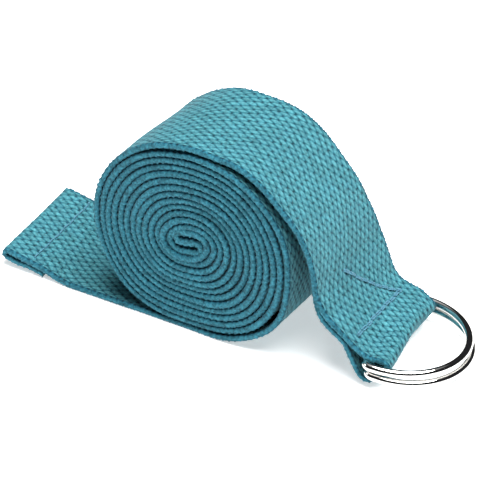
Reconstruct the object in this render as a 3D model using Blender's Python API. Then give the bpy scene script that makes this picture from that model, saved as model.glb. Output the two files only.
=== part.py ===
"""Stretching strap: a long webbing strap wound into a roll, with a sewn loop that holds two D-rings.

Metres, +Z up.  The origin is on the floor under the middle of the roll.  +X runs along the strap
towards the D-rings, -X towards the hemmed tail, and -Y is the side where the spiral shows.
"""
import math

import bmesh
import bpy
from mathutils import Vector

MM = 0.001

# Webbing.
WIDTH = 38.0
THICK = 1.8
HALF_T = THICK / 2.0
FLEX_GAP = 0.3

# Roll: two arms of one strap wound from its folded middle.
PITCH = 2.25
R_OUTER = 32.0
R_INNER = 2.75
CORE_TURNS = 6
SEG_DEG = 10.0
CORE_CENTRE = (-0.35, 30.9)
ROLL_CENTRE = (0.0, 31.2)
CORE_HALF_X = 5.9
CORE_HALF_Z = 3.6
CORE_TILT = math.radians(12.0)
CORE_BAR = 2.4
CORE_TURN_R = 1.75
# Radius of the settled roll over the radius of a true circle, every 45 degrees from +X.
SAG = (1.093, 1.075, 0.985, 1.020, 1.033, 1.053, 0.945, 1.075)

# Where the outer wrap is cut into pieces.
LEADER_SPLIT_X = 20.0
TAIL_SPLIT_X = -30.0
ARM_SPLIT_DEG = 100.0

# D-rings: round wire, a straight bar, short straight legs and a half-round bow.
WIRE_R = 1.25
RING_HALF_W = 20.3
RING_LEG = 4.0
RING_CORNER_R = 2.6
RING_SIDES = 16
UPPER_BAR = (56.25, 1.7, 8.0)
UPPER_YAW, UPPER_PITCH, UPPER_TILT = 8.6, 4.1, -1.2
LOWER_BAR = (57.0, 2.0, 5.0)
LOWER_YAW, LOWER_PITCH, LOWER_TILT = 8.1, 4.9, -1.0

# Loop that holds the rings, and the hem of the tail.
LOOP_YAW = math.radians(8.6)
HEM_YAW = math.radians(4.1)
FLAP_LENGTH = 26.0
HEM_LENGTH = 13.0
SEAM_FRONT_X = 52.0
SEAM_BACK_X = 54.8

# Sewing thread.
THREAD_R = 0.25
THREAD_LIFT = 0.12
STITCH_LENGTH = 2.6
STITCH_SWELL = 0.10


def clear_scene():
    for obj in list(bpy.data.objects):
        bpy.data.objects.remove(obj, do_unlink=True)


def material(name, colour, roughness, metallic):
    mat = bpy.data.materials.new(name)
    mat.use_nodes = True
    shader = mat.node_tree.nodes["Principled BSDF"]
    shader.inputs["Base Color"].default_value = (*colour, 1.0)
    shader.inputs["Roughness"].default_value = roughness
    shader.inputs["Metallic"].default_value = metallic
    mat.diffuse_color = (*colour, 1.0)
    return mat


def smoothstep(t):
    t = min(max(t, 0.0), 1.0)
    return t * t * (3.0 - 2.0 * t)


def spline(points, steps):
    """Catmull-Rom curve through a few control points."""
    first = tuple(2.0 * a - b for a, b in zip(points[0], points[1]))
    last = tuple(2.0 * a - b for a, b in zip(points[-1], points[-2]))
    ext = [first] + list(points) + [last]
    out = []
    for i in range(1, len(ext) - 2):
        p0, p1, p2, p3 = ext[i - 1:i + 3]
        for k in range(steps):
            t = k / steps
            out.append(tuple(
                0.5 * (2.0 * b + (c - a) * t + (2.0 * a - 5.0 * b + 4.0 * c - d) * t * t
                       + (3.0 * b - a - 3.0 * c + d) * t ** 3)
                for a, b, c, d in zip(p0, p1, p2, p3)))
    out.append(tuple(points[-1]))
    return out


def lengths(path):
    out = [0.0]
    for a, b in zip(path, path[1:]):
        out.append(out[-1] + math.hypot(b[0] - a[0], b[1] - a[1]))
    return out


def at_length(path, s):
    """Point at arc length s."""
    run = lengths(path)
    for i in range(len(path) - 1):
        if run[i + 1] >= s:
            f = (s - run[i]) / max(run[i + 1] - run[i], 1e-9)
            return tuple(a + (b - a) * f for a, b in zip(path[i], path[i + 1]))
    return path[-1]


def cut(path, start, end):
    """Part of a path between two arc lengths."""
    run = lengths(path)
    inner = [p for p, s in zip(path, run) if start + 0.2 < s < end - 0.2]
    return [at_length(path, start)] + inner + [at_length(path, end)]


def length_at_x(path, x):
    """Arc length where the path first crosses x."""
    run = lengths(path)
    for i in range(len(path) - 1):
        a, b = path[i][0], path[i + 1][0]
        if (a - x) * (b - x) <= 0.0 and a != b:
            return run[i] + (run[i + 1] - run[i]) * (x - a) / (b - a)
    return run[-1]


def normals(path):
    """Unit normals in the XZ plane, to the left of the direction of travel."""
    out = []
    for i in range(len(path)):
        a = path[max(i - 1, 0)]
        b = path[min(i + 1, len(path) - 1)]
        dx, dz = b[0] - a[0], b[1] - a[1]
        size = math.hypot(dx, dz)
        out.append((-dz / size, dx / size))
    return out


def straight_layout(x, z):
    """Middle of the width, yaw and half width for webbing that runs square to Y."""
    return 0.0, 0.0, WIDTH / 2.0


def leader_layout(x, z):
    """The leader turns a few degrees and narrows a little as it runs into the ring loop."""
    turn = smoothstep((x - 40.0) / 12.0)
    middle = 0.5 * smoothstep((x - 16.0) / 20.0) + 0.56 * turn
    middle += max(x - 52.0, 0.0) * math.tan(LOOP_YAW)
    half = WIDTH / 2.0 - 0.7 * smoothstep((x - 46.0) / 8.0) - 1.3 * smoothstep((x - 58.0) / 6.0)
    return middle, LOOP_YAW * turn, half


def flap_layout(x, z):
    """The turned-back end lies square to the leader above it."""
    return leader_layout(x + 0.8 * (THICK + FLEX_GAP), z)


def tail_layout(x, z):
    """The hem is folded a few degrees off square."""
    return 0.0, HEM_YAW * smoothstep((-44.0 - x) / 14.0), WIDTH / 2.0


def make_object(name, verts, faces, mat, smooth):
    mesh = bpy.data.meshes.new(name)
    mesh.from_pydata([tuple(c * MM for c in v) for v in verts], [], faces)
    bm = bmesh.new()
    bm.from_mesh(mesh)
    bmesh.ops.recalc_face_normals(bm, faces=bm.faces)
    bm.to_mesh(mesh)
    bm.free()
    mesh.materials.append(mat)
    for poly in mesh.polygons:
        poly.use_smooth = smooth
    obj = bpy.data.objects.new(name, mesh)
    bpy.context.scene.collection.objects.link(obj)
    return obj


def section(point, normal, layout):
    """Four corners of the webbing's cross-section."""
    middle, yaw, half = layout(*point)
    side = (-math.sin(yaw), math.cos(yaw))
    ring = []
    for s, t in ((-1, -1), (1, -1), (1, 1), (-1, 1)):
        ring.append((point[0] + s * half * side[0] + t * HALF_T * normal[0],
                     middle + s * half * side[1],
                     point[1] + t * HALF_T * normal[1]))
    return ring


def ribbon(name, path, layout, mat):
    """Webbing of constant thickness swept along a path in the XZ plane."""
    verts, faces = [], []
    for point, normal in zip(path, normals(path)):
        verts += section(point, normal, layout)
    for i in range(len(path) - 1):
        for k in range(4):
            m = (k + 1) % 4
            faces.append((4 * i + k, 4 * i + m, 4 * i + 4 + m, 4 * i + 4 + k))
    last = 4 * (len(path) - 1)
    faces.append((3, 2, 1, 0))
    faces.append((last, last + 1, last + 2, last + 3))
    return make_object(name, verts, faces, mat, False)


def tube(name, path, radius, sides, closed, mat, up=None):
    """Round wire or thread swept along a 3-D path."""
    verts, faces = [], []
    count = len(path)
    for i, p in enumerate(path):
        ahead = path[(i + 1) % count] if closed else path[min(i + 1, count - 1)]
        behind = path[i - 1] if closed or i else path[0]
        tangent = (Vector(ahead) - Vector(behind)).normalized()
        side = tangent.cross(up).normalized()
        rise = side.cross(tangent)
        for k in range(sides):
            a = 2.0 * math.pi * k / sides
            verts.append(tuple(Vector(p) + radius * (math.cos(a) * side + math.sin(a) * rise)))
    for i in range(count if closed else count - 1):
        j = (i + 1) % count
        for k in range(sides):
            m = (k + 1) % sides
            faces.append((i * sides + k, i * sides + m, j * sides + m, j * sides + k))
    if not closed:
        faces.append(tuple(range(sides)))
        faces.append(tuple((count - 1) * sides + k for k in reversed(range(sides))))
    return make_object(name, verts, faces, mat, True)


def sag_factor(theta):
    """Smooth periodic curve through the eight sag factors."""
    f = (theta / (math.pi / 4.0)) % 8.0
    i = int(f)
    t = f - i
    a, b, c, d = (SAG[(i + k) % 8] for k in (-1, 0, 1, 2))
    return 0.5 * (2.0 * b + (c - a) * t + (2.0 * a - 5.0 * b + 4.0 * c - d) * t * t
                  + (3.0 * b - a - 3.0 * c + d) * t ** 3)


def wound_point(r, theta):
    """Point of a layer with nominal radius r: oval near the core, sagged round at the outside."""
    across = theta - CORE_TILT
    core = 1.0 / math.hypot(math.cos(across) / CORE_HALF_X, math.sin(across) / CORE_HALF_Z)
    f = (r - 3.0) / 27.0
    radius = core + (30.0 * sag_factor(theta) - core) * f
    cx = CORE_CENTRE[0] + (ROLL_CENTRE[0] - CORE_CENTRE[0]) * f
    cz = CORE_CENTRE[1] + (ROLL_CENTRE[1] - CORE_CENTRE[1]) * f
    return cx + radius * math.cos(theta), cz + radius * math.sin(theta)


def leader_radius(deg):
    return R_OUTER - 2.0 * PITCH * (deg - 90.0) / 360.0


def arm(start_deg, phase):
    """One arm of the spiral from its outer end to its last half turn at the core."""
    end_deg = 270.0 + 360.0 * CORE_TURNS - 20.0
    count = round((end_deg - start_deg) / SEG_DEG)
    out = []
    for i in range(count + 1):
        deg = start_deg + (end_deg - start_deg) * i / count
        out.append(wound_point(leader_radius(deg), math.radians(deg + phase)))
    return out


def core_half(sign):
    """Short straight bar and U-turn at the folded middle, from the arm end to the centre."""
    c, s = math.cos(CORE_TILT), math.sin(CORE_TILT)
    out = []
    for k in range(7):
        a = math.radians(-90.0 + 30.0 * k)
        u = CORE_BAR + CORE_TURN_R * math.cos(a)
        v = -CORE_TURN_R + CORE_TURN_R * math.sin(a)
        out.append((u, v))
    return [(CORE_CENTRE[0] + sign * (u * c - v * s), CORE_CENTRE[1] + sign * (u * s + v * c))
            for u, v in out]


def leader_path():
    """Middle of the outer layer: over the roll, down to the loop, as one smooth curve."""
    over = [wound_point(leader_radius(d), math.radians(d)) for d in (130, 120, 110, 100, 90)]
    fall = [over[-1], (8.5, 62.3), (16.0, 60.9), (23.0, 57.2), (29.6, 51.2), (35.2, 45.1),
            (39.0, 38.2), (41.1, 32.5), (42.6, 27.2), (45.1, 21.8), (48.5, 17.3),
            (52.6, 14.0), (57.0, 12.1), (60.6, 11.3)]
    return over[:-1] + spline(fall, 4)


def loop_return():
    """The fold round the ring bars and the way back up to the seam."""
    return spline([(60.6, 11.3), (62.9, 10.4), (63.8, 9.0), (63.2, 7.2), (61.4, 4.6),
                   (59.2, 2.7), (57.0, 2.2), (55.0, 2.8), (53.9, 4.6), (53.1, 7.0),
                   (52.0, 9.6)], 3)[1:]


def build_strap(mats):
    web = mats["webbing"]

    # Roll: leader arm from the split, core bar, tail arm back out to under the leader.
    leader = leader_path()
    split = length_at_x(leader, LEADER_SPLIT_X)
    outer_end = length_at_x(leader, wound_point(leader_radius(120), math.radians(120))[0])
    outer = cut(leader, outer_end, split - FLEX_GAP / 2.0)
    outer.reverse()
    leader_arm = outer[:-1] + arm(120.0, 0.0)
    tail_arm_in = arm(ARM_SPLIT_DEG + 180.0, 180.0)
    core = core_half(1.0) + list(reversed(core_half(-1.0)))
    roll_path = leader_arm + core + list(reversed(tail_arm_in))
    ribbon("strap_roll", roll_path, straight_layout, web)

    # Outer wrap of the tail arm: over the top right, down the right side and flat on the floor.
    join = wound_point(leader_radius(ARM_SPLIT_DEG + 180.0), math.radians(ARM_SPLIT_DEG))
    wrap = spline([join, (2.0, 60.75), (12.0, 59.6), (20.0, 56.0), (26.4, 50.6), (30.9, 44.2),
                   (33.2, 37.4), (33.6, 30.5), (33.2, 23.5), (31.6, 16.6), (28.2, 10.7),
                   (23.2, 6.3), (16.9, 2.9), (11.0, 1.25), (5.0, HALF_T), (-3.0, HALF_T)], 4)
    wrap = [(x, max(z, HALF_T)) for x, z in wrap if x > 5.0 or z > 20.0] + [(5.0, HALF_T)]
    wrap.append((TAIL_SPLIT_X + FLEX_GAP / 2.0, HALF_T))
    wrap = cut(wrap, FLEX_GAP, lengths(wrap)[-1])
    ribbon("strap_tail_arm", wrap, straight_layout, web)

    # Leader from the flex line to where the turned-back end starts to lie under it.
    down = cut(leader, split + FLEX_GAP / 2.0, lengths(leader)[-1])
    back = loop_return()
    seam = length_at_x(down, 51.2)
    double = seam - FLAP_LENGTH
    ribbon("strap_leader", cut(down, 0.0, double - FLEX_GAP / 2.0), leader_layout, web)

    # Loop: doubled webbing down to the seam, then open round the two ring bars.
    top = cut(down, double + FLEX_GAP / 2.0, lengths(down)[-1])
    flap_len = length_at_x(top, 51.2)
    flap = cut(top, 0.0, flap_len)
    under = []
    for point, normal in zip(flap, normals(flap)):
        under.append((point[0] - normal[0] * (THICK + FLEX_GAP), point[1] - normal[1] * (THICK + FLEX_GAP)))
    under.reverse()
    turned = back + under
    flap_start = lengths(turned)[-1] - FLAP_LENGTH - 1.5
    loop_end = cut(turned, 0.0, flap_start - FLEX_GAP / 2.0)
    ribbon("strap_ring_loop", top + loop_end, leader_layout, web)
    ribbon("strap_loop_flap", cut(turned, flap_start + FLEX_GAP / 2.0, lengths(turned)[-1]),
           flap_layout, web)
    build_loop_stitching(top, flap_len, mats["thread"])

    # Tail end: flat on the floor, curling up to a hem that is folded under.
    rise = spline([(-43.0, HALF_T), (-47.6, 1.75), (-52.3, 3.1), (-59.2, 4.35), (-65.9, 5.5)], 4)
    rise = [(x, max(z, HALF_T)) for x, z in rise]
    fold = [(-66.1 - 1.07 * math.sin(math.radians(a)), 4.4 + 1.07 * math.cos(math.radians(a)))
            for a in (30, 60, 90, 120, 150)]
    low = [(-65.9, 3.33), (-65.9 + HEM_LENGTH, 0.97)]
    tail = [(TAIL_SPLIT_X - FLEX_GAP / 2.0, HALF_T)] + rise + fold + low
    ribbon("strap_tail_end", tail, tail_layout, web)
    build_hem_stitching(rise, mats["thread"])


def on_surface(path, layout, s, v):
    """Point on the top of the webbing at arc length s, v across it, with its up direction."""
    point = at_length(path, s)
    ahead = at_length(path, s + 0.5)
    behind = at_length(path, max(s - 0.5, 0.0))
    dx, dz = ahead[0] - behind[0], ahead[1] - behind[1]
    size = math.hypot(dx, dz)
    sign = 1.0 if dx > 0.0 else -1.0
    n = (-dz / size * sign, dx / size * sign)
    middle, yaw, half = layout(*point)
    base = (point[0] - v * math.sin(yaw), middle + v * math.cos(yaw), point[1])
    return base, n


def thread_row(path, layout, rows):
    """Lockstitch line through (arc length, across) corners, rising and dipping once a stitch."""
    out = []
    for (s0, v0), (s1, v1) in zip(rows, rows[1:]):
        stitches = max(round(math.hypot(s1 - s0, v1 - v0) / STITCH_LENGTH), 1)
        for k in range(stitches * 4):
            f = k / (stitches * 4)
            out.append((s0 + (s1 - s0) * f, v0 + (v1 - v0) * f, k % 4))
    out.append((rows[-1][0], rows[-1][1], 0))
    points = []
    for s, v, phase in out:
        base, n = on_surface(path, layout, s, v)
        high = HALF_T + THREAD_LIFT + THREAD_R + (0.0, 0.7, 1.0, 0.7)[phase] * STITCH_SWELL
        points.append((base[0] + n[0] * high, base[1], base[2] + n[1] * high))
    return points


def build_loop_stitching(top, flap_len, mat):
    rows = [(length_at_x(top, SEAM_FRONT_X), -14.5), (length_at_x(top, SEAM_BACK_X), 13.5),
            (flap_len - 14.5, -3.5)]
    tube("loop_stitching", thread_row(top, leader_layout, rows), THREAD_R, 6, False, mat,
         Vector((0.4, 0.0, 1.0)))


def build_hem_stitching(rise, mat):
    row = length_at_x(rise, -57.6)
    rows = [(row, -17.0), (row, 17.0)]
    tube("hem_stitching", thread_row(rise, tail_layout, rows), THREAD_R, 6, False, mat,
         Vector((0.0, 0.0, 1.0)))


def ring_outline():
    """Closed centreline of a D-ring: x away from the bar, y along the bar."""
    r = RING_CORNER_R
    out = []
    for k in range(5):
        a = math.radians(180.0 + 22.5 * k)
        out.append((r + r * math.cos(a), -RING_HALF_W + r + r * math.sin(a)))
    for k in range(33):
        a = math.radians(-90.0 + 180.0 * k / 32)
        out.append((RING_LEG + RING_HALF_W * math.cos(a), RING_HALF_W * math.sin(a)))
    for k in range(5):
        a = math.radians(90.0 + 22.5 * k)
        out.append((r + r * math.cos(a), RING_HALF_W - r + r * math.sin(a)))
    return out


def build_ring(name, centre, yaw, pitch, tilt, mat):
    yaw, pitch, tilt = (math.radians(a) for a in (yaw, pitch, tilt))
    ahead = Vector((math.cos(yaw) * math.cos(pitch), math.sin(yaw) * math.cos(pitch),
                    -math.sin(pitch)))
    along = Vector((-math.sin(yaw) * math.cos(tilt), math.cos(yaw) * math.cos(tilt),
                    math.sin(tilt)))
    along = (along - along.dot(ahead) * ahead).normalized()
    up = ahead.cross(along)
    path = [tuple(ahead * x + along * y) for x, y in ring_outline()]
    obj = tube(name, path, WIRE_R, RING_SIDES, True, mat, up)
    obj.location = Vector(centre) * MM
    return obj


def main():
    clear_scene()
    mats = {
        "webbing": material("teal_webbing", (0.075, 0.36, 0.43), 0.85, 0.0),
        "thread": material("blue_thread", (0.05, 0.22, 0.42), 0.7, 0.0),
        "metal": material("bright_nickel", (0.82, 0.80, 0.76), 0.12, 1.0),
    }
    build_strap(mats)
    build_ring("d_ring_upper", UPPER_BAR, UPPER_YAW, UPPER_PITCH, UPPER_TILT, mats["metal"])
    build_ring("d_ring_lower", LOWER_BAR, LOWER_YAW, LOWER_PITCH, LOWER_TILT, mats["metal"])


main()
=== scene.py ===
import math

import bpy
import numpy as np
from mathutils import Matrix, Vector


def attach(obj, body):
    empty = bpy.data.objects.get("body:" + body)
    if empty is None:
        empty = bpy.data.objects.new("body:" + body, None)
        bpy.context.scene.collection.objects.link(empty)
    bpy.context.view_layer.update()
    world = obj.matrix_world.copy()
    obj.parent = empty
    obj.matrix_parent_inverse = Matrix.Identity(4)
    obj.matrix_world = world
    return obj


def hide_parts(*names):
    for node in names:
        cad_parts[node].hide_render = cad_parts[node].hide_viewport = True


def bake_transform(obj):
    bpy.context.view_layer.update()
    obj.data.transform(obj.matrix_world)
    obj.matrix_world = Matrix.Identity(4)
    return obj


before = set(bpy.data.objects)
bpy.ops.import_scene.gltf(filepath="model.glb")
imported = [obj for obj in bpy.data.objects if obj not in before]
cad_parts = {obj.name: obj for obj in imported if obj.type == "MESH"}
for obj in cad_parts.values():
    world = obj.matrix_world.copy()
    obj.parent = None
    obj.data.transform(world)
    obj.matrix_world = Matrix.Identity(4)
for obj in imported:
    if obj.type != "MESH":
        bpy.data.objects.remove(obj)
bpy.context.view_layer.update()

MM = 0.001

# Webbing: a rounded section covered in staggered grains.  A column is one grain wide and a pick is
# one grain long.  Once round the section is a face, an edge, the other face and the other edge.
WIDTH = 38.0
HALF_WIDTH = WIDTH / 2.0
BODY_T = 0.68                   # half thickness under the grains
EDGE_SQUARENESS = 0.75
COLUMNS = 29
EDGE_COLUMNS = 2
FACE_AND_EDGE = COLUMNS + EDGE_COLUMNS
ROUND = 2 * FACE_AND_EDGE
COLUMN_STEP = 0.25
PICK = 2.08
STEP = PICK / 4.0
OUTSIDE = -1.0                  # sign of t on the face that shows

# A grain, from 0 at its middle to 1 half-way to the next: the hollow beside it, how much deeper
# that is at the grain's ends, and the groove along the row.  The material uses the same numbers.
RELIEF = 0.22
LEAN = 0.25
HOLLOW, HOLLOW_POWER = 0.52, 3.0
HOLLOW_END, HOLLOW_END_POWER = 0.45, 1.2
GROOVE, GROOVE_POWER = 0.42, 3.0
GRAIN_VARIES = 0.16

# A bead on the edge, and the notches between beads.
EDGE_RELIEF = 0.80
EDGE_LEVEL = 0.35
RIM_POWER = 1.3
NOTCH_MIN = 0.16

# Roll, seen along its axis.  SAG scales the radius at every 45 degrees from the right-hand side.
PITCH = 2.25
R_OUTER = 32.0
R_RIM = 30.0
R_CORE = 3.0
CORE_TURNS = 6
CORE_CENTRE = (-0.35, 30.9)
ROLL_CENTRE = (0.0, 31.2)
CORE_HALF_X = 5.9
CORE_HALF_Z = 3.6
CORE_TILT = math.radians(12.0)
CORE_BAR = 2.4
CORE_TURN_R = 1.75
SAG = (1.093, 1.075, 0.985, 1.020, 1.033, 1.053, 0.945, 1.075)
ARM_SPLIT_DEG = 100.0
LEADER_SPLIT_DEG = 130
FLOOR_LINE = 0.9
OUTER_TURN_LENGTH = 96.0
WANDER = ((0.05, 0.0131, 1.0), (0.04, 0.0373, 2.0))
CORE_SWELL = 0.40               # layers drawn thicker round the folded middle
WOUND_SWELL = 0.11              # and through the roll

# Where the roll's outline changes along its axis: mm outwards, at degrees, over degrees.
FRONT_SLACK = (0.85, 178.0, 26.0)
SHOULDER_TUCK = (-1.45, 134.0, 26.0)
CROWN_RISE = (1.0, 98.0, 20.0)

# Mid-line where it leaves the roll, as (x, z).
LEADER_FALL = [(8.5, 62.3), (16.0, 60.9), (23.0, 57.2), (29.6, 51.2), (35.2, 45.1), (39.0, 38.2),
               (41.1, 32.5), (42.6, 27.2), (45.1, 21.8), (48.5, 17.3), (52.6, 14.0), (57.0, 12.1),
               (60.6, 11.3)]
RING_LOOP = [(60.6, 11.3), (62.9, 10.4), (63.8, 9.0), (63.2, 7.2), (61.4, 4.6), (59.2, 2.7),
             (57.0, 2.2), (55.0, 2.8), (53.9, 4.6), (53.1, 7.0), (52.0, 9.6)]
TAIL_WRAP = [(2.0, 60.75), (12.0, 59.6), (20.0, 56.0), (26.4, 50.6), (30.9, 44.2), (33.2, 37.4),
             (33.6, 30.5), (33.2, 23.5), (31.6, 16.6), (28.2, 10.7), (23.2, 6.3), (16.9, 2.9),
             (11.0, 1.25), (5.0, FLOOR_LINE), (-3.0, FLOOR_LINE)]

# Height of the leader's front edge over its back edge, as (x, mm).
LEADER_TWIST = [(-22.0, 0.0), (-10.0, 1.4), (0.0, 1.6), (9.0, 1.2), (16.5, 1.9), (25.0, 2.8),
                (31.0, 3.1), (35.5, 3.3), (39.0, 3.0), (41.5, 1.1), (43.0, -0.2), (46.0, -0.5),
                (49.0, -0.2)]

# Loop and hem.
LOOP_YAW = math.radians(8.6)
FLAP_LENGTH = 33.0
FLAP_GAP = 1.86
FLAP_TUCK = 1.6                 # half of how far the front edge is drawn in at the free end
FLAP_TUCK_RUN = 13.0            # length that is drawn in fully, and length over which it fades
HEM_YAW = math.radians(4.1)
HEM_LENGTH = 13.0
HEM_FOLD_X = -65.9
HEM_FOLD_R = 1.2

# Sewing.
SEAM_X = 51.2
SEAM_X_ENDS = (52.0, 54.8)      # where the seam starts at the front and ends at the back
HEM_SEAM_X = -57.6
HEM_SEAM_HALF = 17.0
THREAD_R = 0.27
STITCH = 3.0
STITCH_SINK = 0.70
STITCH_WOBBLE = 0.16
SECOND_PASS = (0.55, 0.15)      # how far the second pass of the seam lies beside the first
PINCH_DEPTH, PINCH_REACH = 0.30, 0.9

# D-rings: for each, the middle of its bar, and its yaw, pitch and tilt in degrees.
WIRE_R = 1.25
RING_HALF_W = 20.3
RING_LEG = 4.0
RING_CORNER_R = 2.6
RINGS = {
    "d_ring_upper": ((56.25, 1.7, 8.0), (8.6, 4.1, -1.2)),
    "d_ring_lower": ((57.0, 2.0, 5.0), (8.1, 4.9, -1.0)),
}

# Colours, from the hollows of the surface up to its tops, darkest in the hollows as painted shade.
WEBBING_HOLLOW_SHADE_TONES = [(0.0, (0.001, 0.012, 0.022)), (0.34, (0.006, 0.056, 0.078)),
                 (0.66, (0.027, 0.138, 0.168)), (1.0, (0.064, 0.228, 0.260))]
WEBBING_BLUE = (0.040, 0.175, 0.260)
# Painted shade: multiplies the webbing's edges, which make up the roll's side face, darker and
# bluer.
EDGE_PAINTED_SHADE = (0.52, 0.75, 0.86)
# Thread colours, from painted shade in the grooves between the plies up to the ply tops.
THREAD_PLY_SHADE_TONES = [(0.0, (0.005, 0.050, 0.095)), (0.45, (0.026, 0.140, 0.215)),
                (1.0, (0.080, 0.285, 0.385))]
METAL_TONES = [(0.25, (0.70, 0.68, 0.65)), (0.55, (0.80, 0.785, 0.76)),
               (0.85, (0.86, 0.85, 0.83))]
FLOOR_TONES = [(0.0, (0.86, 0.86, 0.86)), (1.0, (0.90, 0.90, 0.90))]

# Studio, in metres and watts.
LAMP_TARGET = (0.0, 0.0, 0.03)
LAMPS = {
    "overhead": ((0.35, -0.05, 1.45), 1.35, 56.0),
    "left_fill": ((-1.5, -0.7, 0.9), 0.7, 4.0),
}
AIR_LEAN = 0.10
AIR_DARK = (0.82, (0.03, 0.03, 0.033))
AIR_BRIGHT = (1.0, (0.95, 0.98, 1.0))
AIR_STRENGTH = 0.8
CAMERA_PLACE = (0.6597, -1.0627, 0.8523)
CAMERA_LOOK = (-0.4365, 0.7095, -0.5534)
CAMERA_LENS = 378.0


def smooth(t):
    """Ease from 0 to 1 while t goes from 0 to 1."""
    t = np.clip(t, 0.0, 1.0)
    return t * t * (3.0 - 2.0 * t)


def hump(value, centre, spread):
    """1 at the centre, falling away to 0 on both sides."""
    return np.exp(-((value - centre) / spread) ** 2)


def between(a, b, c, d, t):
    """Catmull-Rom value: b at t = 0 and c at t = 1, with a and d as their neighbours."""
    return 0.5 * (2.0 * b + (c - a) * t + (2.0 * a - 5.0 * b + 4.0 * c - d) * t * t
                  + (3.0 * b - a - 3.0 * c + d) * t ** 3)


def spline(points, steps):
    """Curve through a few control points."""
    first = tuple(2.0 * a - b for a, b in zip(points[0], points[1]))
    last = tuple(2.0 * a - b for a, b in zip(points[-1], points[-2]))
    ext = [first] + list(points) + [last]
    out = []
    for i in range(1, len(ext) - 2):
        for k in range(steps):
            out.append(tuple(between(*four, k / steps) for four in zip(*ext[i - 1:i + 3])))
    out.append(tuple(points[-1]))
    return out


def run_of(path):
    """Length along a path up to each of its points, in its first two columns."""
    path = np.asarray(path, float)
    return np.concatenate([[0.0], np.cumsum(np.hypot(*np.diff(path[:, :2], axis=0).T))])


def sag_factor(theta):
    f = (theta / (math.pi / 4.0)) % 8.0
    i = int(f)
    return between(*(SAG[(i + k) % 8] for k in (-1, 0, 1, 2)), f - i)


def wound_point(r, theta):
    """Point of a layer with nominal radius r: oval near the core, sagged round at the outside."""
    across = theta - CORE_TILT
    core = 1.0 / math.hypot(math.cos(across) / CORE_HALF_X, math.sin(across) / CORE_HALF_Z)
    f = (r - R_CORE) / (R_RIM - R_CORE)
    radius = core + (R_RIM * sag_factor(theta) - core) * f
    cx = CORE_CENTRE[0] + (ROLL_CENTRE[0] - CORE_CENTRE[0]) * f
    cz = CORE_CENTRE[1] + (ROLL_CENTRE[1] - CORE_CENTRE[1]) * f
    return cx + radius * math.cos(theta), cz + radius * math.sin(theta)


def layer_radius(deg):
    return R_OUTER - 2.0 * PITCH * (deg - 90.0) / 360.0


def wound_arm(start_deg, phase, wander):
    """One arm of the spiral, with layers that lie a little tighter or looser here and there."""
    end_deg = 270.0 + 360.0 * CORE_TURNS - 20.0
    out = []
    for deg in np.arange(start_deg, end_deg + 0.1, 2.0):
        fade = smooth((deg - start_deg) / 60.0) * smooth((end_deg - deg) / 200.0)
        off = sum(size * math.sin(deg * rate + shift * wander) for size, rate, shift in WANDER)
        out.append(wound_point(layer_radius(deg) + off * fade, math.radians(deg + phase)))
    return out


def core_half(sign):
    """Short straight bar and U-turn at the folded middle."""
    c, s = math.cos(CORE_TILT), math.sin(CORE_TILT)
    out = []
    for deg in range(-90, 91, 10):
        a = math.radians(deg)
        u = CORE_BAR + CORE_TURN_R * math.cos(a)
        v = -CORE_TURN_R + CORE_TURN_R * math.sin(a)
        out.append((CORE_CENTRE[0] + sign * (u * c - v * s),
                    CORE_CENTRE[1] + sign * (u * s + v * c)))
    return out


def leader_line():
    """Over the top of the roll and down to the ring loop."""
    over = [wound_point(layer_radius(d), math.radians(d))
            for d in range(LEADER_SPLIT_DEG, 89, -10)]
    return spline(over, 8)[:-1] + spline([over[-1]] + LEADER_FALL, 16)


def flap_line(leader, run, seam):
    """Turned-back end below the leader, from the seam up, each point with the x it lies below."""
    above = leader[(run >= seam) & (run <= seam + FLAP_LENGTH)]
    tangent = np.gradient(above, axis=0)
    tangent /= np.hypot(*tangent.T)[:, None]
    flap = above + FLAP_GAP * np.stack([-tangent[:, 1], tangent[:, 0]], axis=1)
    return np.column_stack([flap, above[:, 0]])


def on_floor(points):
    return [(x, max(z, FLOOR_LINE)) for x, z in points]


def wrap_line():
    """Outer turn of the tail: down the right side of the roll and flat along the floor."""
    join = wound_point(layer_radius(ARM_SPLIT_DEG + 180.0), math.radians(ARM_SPLIT_DEG))
    return on_floor(spline([join] + TAIL_WRAP, 12))


def hem_line():
    """Tail end: flat and curling up, then folded under as the hem."""
    rise = spline([(-43.0, FLOOR_LINE), (-47.6, 1.75), (-52.3, 3.1), (-59.2, 4.35),
                   (HEM_FOLD_X, 5.5)], 12)
    fold = [(HEM_FOLD_X - 0.2 - HEM_FOLD_R * math.sin(math.radians(a)),
             4.3 + HEM_FOLD_R * math.cos(math.radians(a))) for a in range(20, 161, 20)]
    low = spline([(HEM_FOLD_X, 3.1), (-62.6, 2.45), (-58.8, 2.38), (-55.6, 1.85),
                  (HEM_LENGTH + HEM_FOLD_X, 1.25)], 8)
    return on_floor(rise), fold + low


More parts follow.
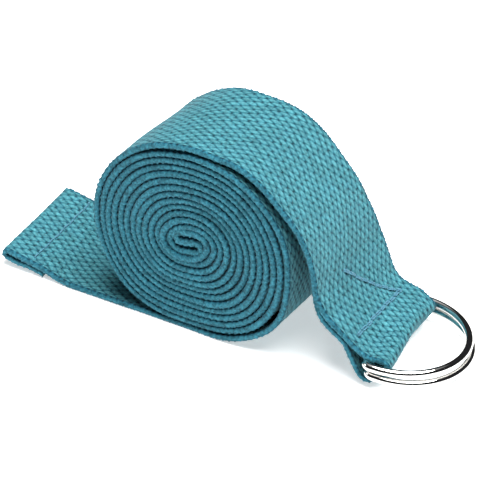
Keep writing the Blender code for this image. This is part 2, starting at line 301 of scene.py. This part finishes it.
class Line:
    """The whole mid-line, with how the webbing lies across it at each point."""

    SPACING = 0.1
    SOFTEN = 13                 # samples averaged to round off the joins

    def __init__(self):
        leader = np.array(leader_line()[::-1])
        run = run_of(leader)
        seam = np.interp(SEAM_X, leader[::-1, 0], run[::-1])
        rise, under = hem_line()
        parts = [
            ("flap", flap_line(leader, run, seam)[::-1]),
            ("loop", spline(RING_LOOP, 12)[::-1]), ("leader", leader),
            ("arm_in", wound_arm(LEADER_SPLIT_DEG + 2.0, 0.0, 0.7)), ("core", core_half(1.0)),
            ("core_out", core_half(-1.0)[::-1]),
            ("arm_out", wound_arm(ARM_SPLIT_DEG + 182.0, 180.0, 2.9)[::-1]),
            ("wrap", wrap_line()), ("floor", rise), ("hem", under)]
        points, names = [], []
        for name, part in parts:
            for p in np.asarray(part, float):
                if not points or math.hypot(p[0] - points[-1][0], p[1] - points[-1][1]) > 0.02:
                    points.append((p[0], p[1], p[-1] if len(p) == 3 else p[0]))
                    names.append(name)
        points = np.array(points)
        raw = run_of(points)
        self.part_start = {}
        for name, s in zip(names, raw):
            self.part_start.setdefault(name, s)
        self.seam = self.part_start["leader"] + seam
        self.length = raw[-1]
        self.s = np.arange(0.0, self.length, self.SPACING)
        self.x, self.z, self.lay = (self.softened(np.interp(self.s, raw, points[:, k]))
                                    for k in range(3))
        self.z = np.maximum(self.z, FLOOR_LINE)
        dx, dz = np.gradient(self.x), np.gradient(self.z)
        size = np.hypot(dx, dz)
        self.nx, self.nz = -dz / size, dx / size
        self.lay_out()

    def softened(self, value):
        kernel = np.hanning(self.SOFTEN)
        kernel /= kernel.sum()
        padded = np.pad(value, self.SOFTEN // 2, mode="reflect", reflect_type="odd")
        return np.convolve(padded, kernel, "valid")

    def lay_out(self):
        """At each point: middle, half width, yaw, front edge over back edge, and thickness."""
        x, s = self.lay, self.s
        start = self.part_start
        lead = s < start["arm_in"]
        turn = smooth((x - 42.0) / 11.0) * lead
        wound = smooth((s - start["arm_in"]) / 60.0) * smooth((start["wrap"] - s) / 60.0)
        tail = s > start["floor"]
        tuck = FLAP_TUCK * (1.0 - smooth((s - FLAP_TUCK_RUN) / FLAP_TUCK_RUN))

        # The leader drifts back by up to 1 mm and half way forward again, then turns with the loop.
        mid = smooth((x + 8.0) / 28.0) * (1.0 - 0.50 * smooth((x - 40.0) / 10.0)) * lead
        mid = mid + 0.56 * turn
        mid = mid + np.maximum(x - 52.0, 0.0) * math.tan(LOOP_YAW) * lead
        mid = mid + wound * (0.28 * np.sin(s / 27.0 + 0.4) + 0.20 * np.sin(s / 11.3 + 2.0))
        self.mid = mid + 0.12 * np.sin(s / 9.7) + tuck

        # It narrows a little towards the rings, and no edge is quite straight.
        half = HALF_WIDTH - (0.7 * smooth((x - 46.0) / 8.0) + 1.3 * smooth((x - 58.0) / 6.0)) * lead
        edge = 0.18 * np.sin(s / 6.1) + 0.12 * np.sin(s / 2.7 + 1.0)
        self.half = half + edge * 0.35 - tuck

        self.yaw = LOOP_YAW * turn
        self.yaw = self.yaw + HEM_YAW * smooth((-44.0 - x) / 14.0) * tail

        # On the flap the same side faces the other way, so its lift has the other sign.
        lift = np.interp(x, *zip(*LEADER_TWIST))
        self.lift = lift * np.where(s < start["loop"], 1.0, -1.0) * lead
        self.lift[(s > start["loop"]) & (s < start["leader"])] = 0.0

        core = CORE_SWELL * hump(s, start["core_out"], 15.0)
        deep = smooth((s - start["arm_in"] - 60.0) / 40.0) * smooth((start["wrap"] - s) / 30.0)
        self.swell = 1.0 + core + WOUND_SWELL * deep

    def place(self, s, v, t):
        """World point at arc length s, v across the webbing and t off its middle."""
        x, z, nx, nz, mid, yaw, half, lift, swell = (
            np.interp(s, self.s, getattr(self, k))
            for k in ("x", "z", "nx", "nz", "mid", "yaw", "half", "lift", "swell"))
        v = v * half / HALF_WIDTH
        off = t * swell + lift * (-v / WIDTH)
        x = x + nx * off - v * np.sin(yaw)
        z = z + nz * off
        x, z = self.settle_loop(s, v, *self.settle_roll(s, v, x, z))
        return np.stack([x, mid + v * np.cos(yaw), z], axis=-1)

    def settle_roll(self, s, v, x, z):
        """Slacker at the front left, tighter at the back of the shoulder, higher at the crown."""
        dx, dz = x - ROLL_CENTRE[0], z - ROLL_CENTRE[1]
        r = np.hypot(dx, dz) + 1e-6
        a = np.degrees(np.arctan2(dz, dx)) % 360.0
        move = sum(far * where * hump(a, deg, spread) for (far, deg, spread), where in (
            (FRONT_SLACK, 1.0 - smooth((v + 19.0) / 24.0)),
            (SHOULDER_TUCK, smooth((v + 10.0) / 28.0)),
            (CROWN_RISE, smooth((v + 8.0) / 26.0))))
        move = move * np.minimum(r / R_OUTER, 1.1) ** 1.5 * (s > self.part_start["leader"])
        return x + dx / r * move, z + dz / r * move

    def settle_loop(self, s, v, x, z):
        """The front corner of the ring loop hangs lower and is drawn in, and the back sags."""
        on = (s < self.part_start["arm_in"]) * smooth((x - 49.0) / 10.0)
        front = smooth((5.0 - v) / 20.0)
        z = z - 2.2 * on * front * smooth((z - 2.6) / 6.0)
        x = x - 1.3 * on * smooth((x - 58.0) / 6.0) * (1.0 - smooth((v - 4.0) / 13.0))
        back = smooth((v - 8.0) / 9.0)
        z = z - 0.6 * on * back * smooth((x - 56.0) / 5.0) * smooth((z - 5.0) / 4.0)
        return x, z


line = Line()


def grain_height(u, pick):
    """Height of the weave in mm: a lattice of slanted grains, and beads along the two edges."""
    face = np.mod(u, FACE_AND_EDGE)
    p, q = (u + pick) / 2.0, (u - pick) / 2.0
    in_q = q - np.round(q)
    p = p + LEAN * in_q
    in_p = p - np.round(p)
    fat = 1.0 + GRAIN_VARIES * np.sin(12.9 * np.round(p) + 78.2 * np.round(q))
    far_p, far_q = np.abs(2.0 * in_p), np.abs(2.0 * in_q)
    hollow = far_p ** HOLLOW_POWER * (HOLLOW + HOLLOW_END * far_q ** HOLLOW_END_POWER)
    grain = np.maximum(1.0 - hollow - GROOVE * far_q ** GROOVE_POWER, 0.0)
    side = face - (COLUMNS + EDGE_COLUMNS / 2.0)
    beat = pick + 0.22 * np.sin(0.61 * pick) + 0.5 * (side > 0.0)
    notch = (0.5 + 0.5 * np.cos(2.0 * math.pi * beat)) * (0.8 + 0.2 * np.sin(0.37 * pick + side))
    notch = NOTCH_MIN + (1.0 - NOTCH_MIN) * notch
    bead = 1.0 - np.minimum(np.abs(side), 1.0) ** RIM_POWER * notch
    bead = bead + 0.16 * np.sin(4.0 * math.pi * pick + 3.0 * side)
    return np.where(face > COLUMNS, EDGE_RELIEF * (bead - EDGE_LEVEL), RELIEF * fat * grain)


def section(u):
    """Point of the rounded section and the way out of it, u columns round from the first edge."""
    flat = HALF_WIDTH - BODY_T
    v, t, ev, et = (np.zeros_like(u) for _ in range(4))
    for base, side in ((0, 1.0), (FACE_AND_EDGE, -1.0)):
        on = (u >= base) & (u < base + COLUMNS)
        v[on] = side * (-flat + 2.0 * flat * (u[on] - base) / COLUMNS)
        t[on], et[on] = side * BODY_T, side
        on = (u >= base + COLUMNS) & (u < base + FACE_AND_EDGE)
        a = math.pi / 2.0 - math.pi * (u[on] - base - COLUMNS) / EDGE_COLUMNS
        v[on] = side * (flat + BODY_T * np.abs(np.cos(a)) ** EDGE_SQUARENESS)
        t[on] = side * BODY_T * np.sign(np.sin(a)) * np.abs(np.sin(a)) ** EDGE_SQUARENESS
        ev[on], et[on] = side * np.cos(a), side * np.sin(a)
    return v, t, ev, et


# Stitch rows as corners (arc length, across).  The loop's seam runs square across and comes back
# up in a diagonal.
on_top = (line.s > line.part_start["leader"]) & (line.s < line.seam + 20.0)
seam_front, seam_back = (float(np.interp(-x, -line.x[on_top], line.s[on_top]))
                         for x in SEAM_X_ENDS)
LOOP_ROWS = [(seam_front, -14.5), (seam_back, 13.5), (line.seam + 14.5, -3.5)]
LOOP_ROWS_BACK = [(s + SECOND_PASS[0], v + SECOND_PASS[1]) for s, v in LOOP_ROWS[::-1]]
hem_s = float(line.s[(line.s > line.part_start["floor"]) & (line.x < HEM_SEAM_X)][0])
HEM_ROWS = [(hem_s, -HEM_SEAM_HALF), (hem_s, HEM_SEAM_HALF)]


def row_points(rows):
    """Points along stitch rows, eight to the millimetre."""
    out = []
    for (s0, v0), (s1, v1) in zip(rows, rows[1:]):
        n = max(int(math.hypot(s1 - s0, v1 - v0) * 8.0), 2)
        f = np.linspace(0.0, 1.0, n, endpoint=False)
        out.append(np.stack([s0 + (s1 - s0) * f, v0 + (v1 - v0) * f], axis=1))
    out.append(np.array([rows[-1]], float))
    return np.concatenate(out)


def pinch(s, v, rows):
    """How far the sewing pulls the face in, in mm."""
    depth = np.zeros_like(s)
    for (s0, v0), (s1, v1) in zip(rows, rows[1:]):
        d = np.array([s1 - s0, v1 - v0])
        f = np.clip(((s - s0) * d[0] + (v - v0) * d[1]) / d.dot(d), 0.0, 1.0)
        away = np.hypot(s - s0 - f * d[0], v - v0 - f * d[1])
        depth = np.maximum(depth, PINCH_DEPTH * hump(away, 0.0, PINCH_REACH))
    return depth


def make_mesh(name, points, quads, caps, uv, mat):
    """Mesh from a closed grid of rings, with a column and pick coordinate on every corner."""
    mesh = bpy.data.meshes.new(name)
    corners = np.concatenate([quads.ravel()] + [np.asarray(c) for c in caps])
    sizes = np.concatenate([np.full(len(quads), 4), [len(c) for c in caps]]).astype(np.int32)
    mesh.vertices.add(len(points))
    mesh.vertices.foreach_set("co", (points * MM).astype(np.float32).ravel())
    mesh.loops.add(len(corners))
    mesh.loops.foreach_set("vertex_index", corners.astype(np.int32))
    mesh.polygons.add(len(sizes))
    starts = np.concatenate([[0], np.cumsum(sizes)[:-1]]).astype(np.int32)
    mesh.polygons.foreach_set("loop_start", starts)
    mesh.polygons.foreach_set("use_smooth", np.ones(len(sizes), bool))
    layer = mesh.uv_layers.new(name="Weave")
    layer.data.foreach_set("uv", uv.astype(np.float32).ravel())
    mesh.materials.append(mat)
    mesh.update(calc_edges=True)
    mesh.validate()
    obj = bpy.data.objects.new(name, mesh)
    bpy.context.scene.collection.objects.link(obj)
    return obj


def corner_uv(*corners):
    """Coordinates of each quad's four corners, given as pairs of arrays."""
    return np.stack([np.stack(pair, 1) for pair in corners], axis=1).reshape(-1, 2)


def ribbon(name, start, end, columns, mat, rows=()):
    """Closed stretch of webbing between two arc lengths, and the size it has when laid flat."""
    s = np.arange(round(start / STEP), round(end / STEP) + 1) * STEP
    s = np.minimum(s, line.length - 0.15)
    v, t, ev, et = section(columns)
    count, ring = len(s), len(columns)
    ss, uu = np.meshgrid(s, columns, indexing="ij")
    high = grain_height(uu, ss / PICK)
    vv, tt = v + ev * high, t + et * high
    if rows:
        near = (np.sign(tt) == OUTSIDE).astype(float)
        tt = tt - OUTSIDE * near * pinch(ss, vv, rows)
    points = line.place(ss, vv, tt).reshape(-1, 3)
    points[:, 2] = np.maximum(points[:, 2], 0.01)
    i, j = np.meshgrid(np.arange(count - 1), np.arange(ring), indexing="ij")
    i, j = i.ravel(), j.ravel()
    m = (j + 1) % ring
    quads = np.stack([i * ring + j, i * ring + m, (i + 1) * ring + m, (i + 1) * ring + j], axis=1)
    caps = [np.arange(ring)[::-1], (count - 1) * ring + np.arange(ring)]
    uj = columns[j]
    um = np.where(m == 0, ROUND, columns[m])
    p0, p1 = s[i] / PICK, s[i + 1] / PICK
    uv = np.concatenate([corner_uv((uj, p0), (um, p0), (um, p1), (uj, p1)),
                         np.stack([columns[::-1], np.full(ring, s[0] / PICK)], 1),
                         np.stack([columns, np.full(ring, s[-1] / PICK)], 1)])
    obj = make_mesh(name, points, quads, caps, uv, mat)
    return obj, (WIDTH * MM, float(s[-1] - s[0]) * MM)


def tube(name, path, radius, sides, closed, mat):
    """Round thread or wire swept along a 3-D path, turned so that it doesn't twist."""
    path = np.asarray(path, float)
    count = len(path)
    if closed:
        tangent = np.roll(path, -1, axis=0) - np.roll(path, 1, axis=0)
    else:
        tangent = np.gradient(path, axis=0)
    tangent /= np.linalg.norm(tangent, axis=1)[:, None]
    side = np.cross(tangent[0], (0.13, 0.21, 1.0))
    sides_at = []
    for k in range(count):
        side = side - tangent[k] * side.dot(tangent[k])
        side /= np.linalg.norm(side)
        sides_at.append(side.copy())
    side = np.array(sides_at)
    rise = np.cross(side, tangent)
    a = 2.0 * math.pi * np.arange(sides) / sides
    radius = np.broadcast_to(radius, (count,))
    points = (path[:, None, :] + radius[:, None, None]
              * (np.cos(a)[None, :, None] * side[:, None, :]
                 + np.sin(a)[None, :, None] * rise[:, None, :])).reshape(-1, 3)
    last = count if closed else count - 1
    i, j = np.meshgrid(np.arange(last), np.arange(sides), indexing="ij")
    i, j = i.ravel(), j.ravel()
    n, m = (i + 1) % count, (j + 1) % sides
    quads = np.stack([i * sides + j, n * sides + j, n * sides + m, i * sides + m], axis=1)
    caps = [] if closed else [np.arange(sides), (count - 1) * sides + np.arange(sides)[::-1]]
    run = np.concatenate([[0.0], np.cumsum(np.linalg.norm(np.diff(path, axis=0), axis=1))])
    run = np.append(run, run[-1] + 0.5)
    r0, r1 = run[i], run[i + 1]
    c0, c1 = j / sides, (j + 1) / sides
    uv = np.concatenate([corner_uv((c0, r0), (c0, r1), (c1, r1), (c1, r0))]
                        + [np.zeros((len(cap), 2)) for cap in caps])
    return make_mesh(name, points, quads, caps, uv, mat)


def stitch_row(name, rows, mat):
    """Lockstitch: the thread lies on the face, bends down into the webbing and comes up again."""
    pts = row_points(rows)
    phase = run_of(pts) / STITCH
    along = phase - np.floor(phase)
    arch = np.minimum(1.0, np.sin(math.pi * along) * 1.7)
    wobble = STITCH_WOBBLE * np.sin(np.floor(phase) * 2.4 + 1.2 * along)
    high = BODY_T - 0.10 + (RELIEF + THREAD_R * 0.55) * arch - STITCH_SINK * (1.0 - arch)
    path = line.place(pts[:, 0] + wobble, pts[:, 1], OUTSIDE * high)
    thick = THREAD_R * (0.82 + 0.18 * arch)
    return tube(name, path, thick, 8, False, mat)


def ring_outline():
    """Straight bar, corner, half circle and corner, with the middle of the bar at the origin."""
    r = RING_CORNER_R
    out = [(0.0, y) for y in np.linspace(RING_HALF_W - r, -RING_HALF_W + r, 24)[:-1]]
    for k in range(12):
        a = math.radians(180.0 + 7.5 * k)
        out.append((r + r * math.cos(a), -RING_HALF_W + r + r * math.sin(a)))
    for k in range(97):
        a = math.radians(-90.0 + 180.0 * k / 96)
        out.append((RING_LEG + RING_HALF_W * math.cos(a), RING_HALF_W * math.sin(a)))
    for k in range(12):
        a = math.radians(90.0 + 7.5 * (k + 0.5))
        out.append((r + r * math.cos(a), RING_HALF_W - r + r * math.sin(a)))
    return out


def build_ring(name, mat):
    centre, angles = RINGS[name]
    yaw, pitch, tilt = (math.radians(a) for a in angles)
    ahead = Vector((math.cos(yaw) * math.cos(pitch), math.sin(yaw) * math.cos(pitch),
                    -math.sin(pitch)))
    along = Vector((-math.sin(yaw) * math.cos(tilt), math.cos(yaw) * math.cos(tilt),
                    math.sin(tilt)))
    along = (along - along.dot(ahead) * ahead).normalized()
    path = [tuple(Vector(centre) + ahead * x + along * y) for x, y in ring_outline()]
    return tube(name + "_polished", path, WIRE_R, 28, True, mat)


class Nodes:
    """Small helper to write a material's node tree as formulas."""

    def __init__(self, name):
        self.mat = bpy.data.materials.new(name)
        self.mat.use_nodes = True
        self.tree = self.mat.node_tree
        self.shader = self.tree.nodes["Principled BSDF"]

    def add(self, kind, **values):
        node = self.tree.nodes.new(kind)
        for key, value in values.items():
            setattr(node, key, value)
        return node

    def link(self, a, b):
        self.tree.links.new(a, b)

    def put(self, socket, value):
        """Set a socket to a number or a colour, or link it to another node's output."""
        if isinstance(value, (int, float)):
            socket.default_value = value
        elif isinstance(value, tuple):
            socket.default_value = (*value, 1.0)
        else:
            self.link(value, socket)

    def position(self):
        return self.add("ShaderNodeTexCoord").outputs["Object"]

    def weave_uv(self):
        """Column and pick on the webbing, turn and length along a thread."""
        split = self.add("ShaderNodeSeparateXYZ")
        self.link(self.add("ShaderNodeUVMap", uv_map="Weave").outputs["UV"], split.inputs[0])
        return split.outputs[0], split.outputs[1]

    def math(self, operation, *values):
        node = self.add("ShaderNodeMath", operation=operation)
        for socket, value in zip(node.inputs, values):
            self.put(socket, value)
        return node.outputs[0]

    def plus(self, a, b):
        return self.math("ADD", a, b)

    def minus(self, a, b):
        return self.math("SUBTRACT", a, b)

    def times(self, a, b):
        return self.math("MULTIPLY", a, b)

    def power(self, a, b):
        return self.math("POWER", a, b)

    def level(self, value, base, gain):
        """base + gain * value"""
        return self.plus(base, self.times(value, gain))

    def noise(self, vector, scale, detail, rough):
        node = self.add("ShaderNodeTexNoise")
        node.inputs["Scale"].default_value = scale
        node.inputs["Detail"].default_value = detail
        node.inputs["Roughness"].default_value = rough
        self.link(vector, node.inputs["Vector"])
        return node.outputs["Fac"]

    def ramp(self, value, stops):
        node = self.add("ShaderNodeValToRGB")
        self.link(value, node.inputs["Fac"])
        elements = node.color_ramp.elements
        while len(elements) < len(stops):
            elements.new(0.5)
        for element, (place, colour) in zip(elements, stops):
            element.position = place
            element.color = (*colour, 1.0)
        return node.outputs["Color"]

    def mix(self, kind, factor, a, b):
        node = self.add("ShaderNodeMix", data_type="RGBA", blend_type=kind)
        for socket, value in ((node.inputs[0], factor), (node.inputs[6], a), (node.inputs[7], b)):
            self.put(socket, value)
        return node.outputs[2]

    def vector(self, x, y, z=0.0):
        node = self.add("ShaderNodeCombineXYZ")
        for socket, value in zip(node.inputs, (x, y, z)):
            self.put(socket, value)
        return node.outputs[0]

    def shaded(self, colour, level):
        return self.mix("MULTIPLY", 1.0, colour, self.vector(level, level, level))

    def bump(self, height, distance, strength, normal=None):
        node = self.add("ShaderNodeBump")
        node.inputs["Strength"].default_value = strength
        node.inputs["Distance"].default_value = distance
        self.link(height, node.inputs["Height"])
        if normal is not None:
            self.link(normal, node.inputs["Normal"])
        return node.outputs["Normal"]


def grain_nodes(n, u, pick, place):
    """Grains as in `grain_height`, with a slight stray, and the lattice cell they are in."""
    stray = n.times(n.minus(n.noise(place, 420.0, 1.0, 0.5), 0.5), 0.7)
    q = n.times(n.minus(n.plus(u, stray), pick), 0.5)
    cell_q = n.math("ROUND", q)
    in_q = n.minus(q, cell_q)
    p = n.times(n.plus(n.plus(u, pick), stray), 0.5)
    p = n.plus(p, n.times(in_q, LEAN))
    cell_p = n.math("ROUND", p)
    far_p = n.math("ABSOLUTE", n.times(n.minus(p, cell_p), 2.0))
    far_q = n.math("ABSOLUTE", n.times(in_q, 2.0))
    hollow = n.times(n.power(far_p, HOLLOW_POWER),
                     n.level(n.power(far_q, HOLLOW_END_POWER), HOLLOW, HOLLOW_END))
    groove = n.times(n.power(far_q, GROOVE_POWER), GROOVE)
    grains = n.math("MAXIMUM", n.minus(n.minus(1.0, hollow), groove), 0.0)
    return grains, n.vector(cell_p, cell_q)


def bead_nodes(n, face, pick):
    """Beads along an edge, about as in `grain_height` but with shallower notches."""
    side = n.minus(face, COLUMNS + EDGE_COLUMNS / 2.0)
    late = n.times(n.math("GREATER_THAN", side, 0.0), 0.5)
    notch = n.math("COSINE", n.times(n.plus(pick, late), 2.0 * math.pi))
    notch = n.plus(n.times(notch, 0.325), 0.675)
    rim = n.power(n.math("MINIMUM", n.math("ABSOLUTE", side), 1.0), RIM_POWER)
    return n.minus(1.0, n.times(rim, notch))


def webbing_material():
    """Spun yarn in a staggered weave: pale grain tops, painted shade in the hollows and on the
    edges, and fine fibre.
    """
    n = Nodes("teal_webbing_weave")
    u, pick = n.weave_uv()
    place = n.position()
    face = n.math("MODULO", u, float(FACE_AND_EDGE))
    edge = n.math("GREATER_THAN", face, float(COLUMNS))
    on_face = n.minus(1.0, edge)
    grains, cell = grain_nodes(n, u, pick, place)
    height = n.plus(n.times(grains, on_face), n.times(bead_nodes(n, face, pick), edge))

    fibre = n.noise(n.vector(n.times(u, 5.0), n.times(pick, 2.6)), 1.0, 3.0, 0.6)
    fine = n.noise(place, 2200.0, 2.0, 0.6)
    fleck = n.noise(place, 1250.0, 2.0, 0.65)
    patch = n.noise(place, 55.0, 3.0, 0.55)
    blue = n.noise(place, 260.0, 4.0, 0.7)
    each = n.add("ShaderNodeTexWhiteNoise", noise_dimensions="2D")
    n.link(cell, each.inputs["Vector"])

    # The ramp paints shade into the hollows between grains and the notches between edge beads, from
    # the weave height.
    hollow_shade_tone = n.ramp(n.plus(height, n.times(n.minus(fibre, 0.5), 0.40)), WEBBING_HOLLOW_SHADE_TONES)
    vary = n.level(each.outputs["Value"], 0.90, 0.18)
    vary = n.times(vary, n.level(patch, 0.86, 0.28))
    vary = n.times(vary, n.level(fine, 0.82, 0.36))
    plain = n.times(n.times(fleck, 2.0), on_face)
    speckle = n.times(n.level(fleck, -0.50, 2.9), edge)
    vary = n.times(vary, n.plus(plain, speckle))
    colour = n.shaded(hollow_shade_tone, vary)
    colour = n.mix("MIX", n.times(n.minus(blue, 0.38), 0.6), colour, WEBBING_BLUE)
    # Painted shade on the edges, for the shaded side face of the roll.
    colour = n.mix("MULTIPLY", edge, colour, EDGE_PAINTED_SHADE)
    n.link(colour, n.shader.inputs["Base Color"])
    n.link(n.level(fibre, 0.72, 0.26), n.shader.inputs["Roughness"])
    n.shader.inputs["Specular IOR Level"].default_value = 0.16
    n.shader.inputs["Sheen Weight"].default_value = 0.10
    n.shader.inputs["Sheen Roughness"].default_value = 0.45
    n.shader.inputs["Sheen Tint"].default_value = (0.72, 0.93, 1.0, 1.0)
    normal = n.bump(height, 0.00020, 0.8)
    normal = n.bump(fibre, 0.00014, 0.9, normal)
    normal = n.bump(fleck, 0.00026, 0.8, normal)
    normal = n.bump(fine, 0.00005, 0.6, normal)
    n.link(normal, n.shader.inputs["Normal"])
    return n.mat


def thread_material():
    """Twisted polyester thread, with painted shade in the grooves between its plies."""
    n = Nodes("blue_thread_twist")
    round_it, along = n.weave_uv()
    turn = n.plus(n.times(round_it, 3.0), n.times(along, 1.4))
    ply = n.math("ABSOLUTE", n.math("SINE", n.times(turn, math.pi)))
    hair = n.noise(n.position(), 3200.0, 2.0, 0.6)
    # Painted shade in the ply grooves, lighter on the ply tops.
    colour = n.shaded(n.ramp(ply, THREAD_PLY_SHADE_TONES), n.level(hair, 0.8, 0.4))
    n.link(colour, n.shader.inputs["Base Color"])
    n.link(n.level(hair, 0.42, 0.25), n.shader.inputs["Roughness"])
    n.shader.inputs["Sheen Weight"].default_value = 0.15
    n.link(n.bump(hair, 0.00003, 0.6, n.bump(ply, 0.00008, 0.9)), n.shader.inputs["Normal"])
    return n.mat


def metal_material():
    """Bright nickel plate with faint smears and hairline polishing marks."""
    n = Nodes("bright_nickel_polish")
    place = n.position()
    smear = n.noise(place, 160.0, 4.0, 0.6)
    marks = n.noise(place, 1500.0, 3.0, 0.65)
    n.link(n.ramp(smear, METAL_TONES), n.shader.inputs["Base Color"])
    n.shader.inputs["Metallic"].default_value = 1.0
    n.link(n.level(n.times(smear, marks), 0.02, 0.08), n.shader.inputs["Roughness"])
    n.link(n.bump(marks, 0.000004, 0.5, n.bump(smear, 0.00002, 0.35)), n.shader.inputs["Normal"])
    return n.mat


def floor_material():
    """Pale matte floor with a weak glow of its own, which keeps the shadow pale."""
    n = Nodes("studio_floor")
    soft = n.noise(n.position(), 3.0, 2.0, 0.5)
    n.link(n.ramp(soft, FLOOR_TONES), n.shader.inputs["Base Color"])
    n.shader.inputs["Roughness"].default_value = 0.9
    n.shader.inputs["Specular IOR Level"].default_value = 0.1
    n.shader.inputs["Emission Color"].default_value = (1.0, 1.0, 1.0, 1.0)
    n.shader.inputs["Emission Strength"].default_value = 0.52
    return n.mat


def section_columns(face, edge):
    """Places round the section, from those on one face and on one edge."""
    return np.concatenate([face, edge, face + FACE_AND_EDGE, edge + FACE_AND_EDGE])


def build_webbing(mat):
    """Leader, outer turn, wound layers and tail, each with its flat size.

    The faces of the wound layers are hidden, so only their edges have every column."""
    edge = COLUMNS + np.arange(0.0, EDGE_COLUMNS, COLUMN_STEP)
    full = section_columns(np.arange(0.0, COLUMNS, COLUMN_STEP), edge)
    sparse = section_columns(np.array([0.0, 0.5, 1.0, COLUMNS - 1.0, COLUMNS - 0.5]), edge)

    over = line.part_start["arm_in"]
    under = over + OUTER_TURN_LENGTH
    out = line.part_start["wrap"]
    return (ribbon("webbing_leader", 0.0, over, full, mat, LOOP_ROWS),
            ribbon("webbing_outer_turn", over, under, full, mat),
            ribbon("webbing_wound_core", under, out, sparse, mat),
            ribbon("webbing_tail", out, line.length, full, mat, HEM_ROWS))


def add_floor():
    bpy.ops.mesh.primitive_circle_add(vertices=96, radius=6.0, fill_type="NGON", location=(0, 0, 0))
    floor = bpy.context.object
    floor.name = "studio_floor"
    floor.data.materials.append(floor_material())


def add_lamps():
    for name, (place, size, power) in LAMPS.items():
        data = bpy.data.lights.new(name, "AREA")
        data.shape = "DISK"
        data.size = size
        data.energy = power
        obj = bpy.data.objects.new(name, data)
        obj.location = place
        way = Vector(LAMP_TARGET) - Vector(place)
        obj.rotation_euler = way.to_track_quat("-Z", "Y").to_euler()
        bpy.context.scene.collection.objects.link(obj)


def add_air():
    """World that is bright straight overhead and dark all round, for the rings to reflect."""
    world = bpy.data.worlds.new("studio_air")
    world.use_nodes = True
    tree = world.node_tree
    way = tree.nodes.new("ShaderNodeTexCoord")
    split = tree.nodes.new("ShaderNodeSeparateXYZ")
    ramp = tree.nodes.new("ShaderNodeValToRGB")
    tree.links.new(way.outputs["Generated"], split.inputs[0])
    lean = tree.nodes.new("ShaderNodeMath")
    lean.operation = "MULTIPLY_ADD"
    tree.links.new(split.outputs[1], lean.inputs[0])
    lean.inputs[1].default_value = AIR_LEAN
    tree.links.new(split.outputs[2], lean.inputs[2])
    tree.links.new(lean.outputs[0], ramp.inputs["Fac"])
    tree.links.new(ramp.outputs["Color"], tree.nodes["Background"].inputs["Color"])
    for element, (place, colour) in zip(ramp.color_ramp.elements, (AIR_DARK, AIR_BRIGHT)):
        element.position = place
        element.color = (*colour, 1.0)
    tree.nodes["Background"].inputs["Strength"].default_value = AIR_STRENGTH
    bpy.context.scene.world = world
    bpy.context.scene.view_settings.view_transform = "Standard"


def add_camera():
    data = bpy.data.cameras.new("camera")
    data.lens = CAMERA_LENS
    data.sensor_width = 36.0
    data.clip_end = 50.0
    cam = bpy.data.objects.new("camera", data)
    cam.location = CAMERA_PLACE
    cam.rotation_euler = Vector(CAMERA_LOOK).to_track_quat("-Z", "Y").to_euler()
    bpy.context.scene.collection.objects.link(cam)
    bpy.context.scene.camera = cam


def main():
    web, thread, metal = webbing_material(), thread_material(), metal_material()
    built = build_webbing(web)
    leader, outer, wound, tail = (piece for piece, _ in built)
    loop_sewing = stitch_row("loop_sewing", LOOP_ROWS + LOOP_ROWS_BACK, thread)
    hem_sewing = stitch_row("hem_sewing", HEM_ROWS, thread)

    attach(outer, "roll")
    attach(wound, "roll")
    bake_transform(leader)
    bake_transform(tail)
    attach(loop_sewing, "leader")
    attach(hem_sewing, "tail_end")
    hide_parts("strap_roll")
    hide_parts("strap_leader", "strap_ring_loop", "strap_loop_flap")
    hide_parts("strap_tail_arm", "strap_tail_end")
    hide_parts("loop_stitching")
    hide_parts("hem_stitching")

    for name, body in (("d_ring_upper", "ring_upper"), ("d_ring_lower", "ring_lower")):
        ring = build_ring(name, metal)
        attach(ring, body)
        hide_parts(name)

    add_floor()
    add_lamps()
    add_air()
    add_camera()


main()
